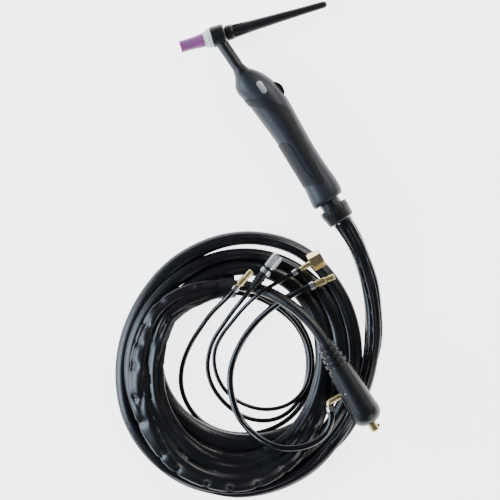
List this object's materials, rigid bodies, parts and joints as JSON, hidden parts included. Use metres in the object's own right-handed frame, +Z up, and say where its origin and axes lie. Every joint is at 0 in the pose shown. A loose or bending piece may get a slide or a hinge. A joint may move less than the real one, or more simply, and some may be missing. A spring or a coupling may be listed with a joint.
{
  "type": "tig torch",
  "caption": "Water-cooled TIG welding torch with angled head, long back cap, two-part handle, trigger, coiled sheathed lead, hose tails and power plug.",
  "frame": {"origin": "middle of the torch's own box (lead left out), on the surface it lies on", "axes": "+Y along the handle from the lead end to the head, +X towards the trigger and the back cap, +Z up, square to the plane of the head"},
  "size_m": [0.4812, 0.5186, 0.0592],
  "materials": {
    "alumina": "satin fired alumina",
    "white_insulator": "white satin",
    "head_black": "satin black moulding",
    "brass": "machined brass",
    "tungsten": "ground",
    "cap_black": "satin black moulding",
    "rubber_black": "matte",
    "shell_grey": "fine textured dark blue grey",
    "grip_rubber": "matte overmould",
    "badge_silver": "satin silver",
    "screw_steel": "plain",
    "trigger_black": "satin",
    "switch_plastic": "plain",
    "nut_black": "satin",
    "hose_black": "glossy hose",
    "sheath_black": "glossy black leatherette, wrinkled",
    "boot_rubber": "satin rubber",
    "cable_rubber": "satin rubber",
    "sleeve_rubber": "satin rubber",
    "clamp_steel": "bright zinc",
    "ring_nickel": "nickel plated, knurled"
  },
  "bodies": {
    "torch": {"cable_coil": "sheath_black", "cable_lead": "sheath_black", "cable_tail": "sheath_black", "collet": "brass", "collet_body": "brass", "control_body": "switch_plastic", "control_boot": "boot_rubber", "control_cable": "hose_black", "control_clamp": "clamp_steel", "control_pins": "brass", "gas_clamp": "clamp_steel", "gas_hose": "hose_black", "gas_stem": "brass", "grip_left": "grip_rubber", "grip_right": "grip_rubber", "handle_hoses": "hose_black", "handle_screws": "screw_steel", "handle_shell_left": "shell_grey", "handle_shell_right": "shell_grey", "head_core": "brass", "insulator": "white_insulator", "neck_pipes": "brass", "plug_boot": "boot_rubber", "plug_ferrule": "brass", "plug_pin": "brass", "plug_screw": "screw_steel", "plug_sleeve": "sleeve_rubber", "plug_spigot": "brass", "power_cable": "cable_rubber", "return_clamp": "clamp_steel", "return_nipple": "brass", "sheath_clamp": "screw_steel", "sheath_end_collar": "boot_rubber", "side_badge_left": "badge_silver", "side_badge_right": "badge_silver", "spigot_clamp": "clamp_steel", "supply_clamp": "clamp_steel", "supply_nipple": "brass", "switch_body": "switch_plastic", "switch_bracket": "screw_steel", "swivel_joint": "nut_black", "torch_head": "head_black", "water_return_hose": "hose_black", "water_supply_hose": "hose_black"},
    "nozzle_cup": {"nozzle": "alumina"},
    "tungsten": {"electrode": "tungsten"},
    "cap_seal": {"back_cap_o_ring": "rubber_black"},
    "rear_cap": {"back_cap": "cap_black"},
    "trigger_button": {"trigger": "trigger_black"},
    "plunger": {"switch_plunger": "switch_plastic"},
    "rear_nut": {"collar_nut": "nut_black"},
    "gas_hex": {"gas_nut": "brass"},
    "control_collar": {"control_ring": "ring_nickel"}
  },
  "joints": [
    {"name": "nozzle_unscrew", "type": "slide", "parent": "torch", "child": "nozzle_cup", "axis": [-0.9532, 0.3024, 0], "range_m": [0, 0.012]},
    {"name": "electrode_slide", "type": "slide", "parent": "torch", "child": "tungsten", "axis": [-0.9532, 0.3024, 0], "range_m": [0, 0.008]},
    {"name": "cap_travel", "type": "slide", "parent": "torch", "child": "cap_seal", "axis": [0.9532, -0.3024, 0], "range_m": [0, 0.006]},
    {"name": "cap_turn", "type": "hinge", "parent": "cap_seal", "child": "rear_cap", "pos_m": [-0.04236, 0.12371, 0.0188], "axis": [0.9532, -0.3024, 0], "range_deg": [0, 2160]},
    {"name": "trigger_press", "type": "slide", "parent": "torch", "child": "trigger_button", "axis": [-1, 0, 0], "range_m": [0, 0.002], "stiffness_N_per_m": 900, "springref_m": -0.002},
    {"name": "plunger_press", "type": "slide", "parent": "torch", "child": "plunger", "axis": [-1, 0, 0], "range_m": [0, 0.002]},
    {"name": "collar_nut_turn", "type": "hinge", "parent": "torch", "child": "rear_nut", "pos_m": [-0.04236, -0.11479, 0.0188], "axis": [0, 1, 0], "continuous": true},
    {"name": "gas_nut_turn", "type": "hinge", "parent": "torch", "child": "gas_hex", "pos_m": [-0.09675, -0.1644, 0.035], "axis": [0.9975, -0.0702, 0], "continuous": true},
    {"name": "control_ring_turn", "type": "hinge", "parent": "torch", "child": "control_collar", "pos_m": [-0.13762, -0.13771, 0.033], "axis": [0.9594, 0.2822, 0], "continuous": true}
  ],
  "couplings": [
    {"joint": "cap_turn", "follows": "cap_travel", "rad_per_m": 6283.2},
    {"joint": "plunger_press", "follows": "trigger_press", "ratio": 1}
  ]
}
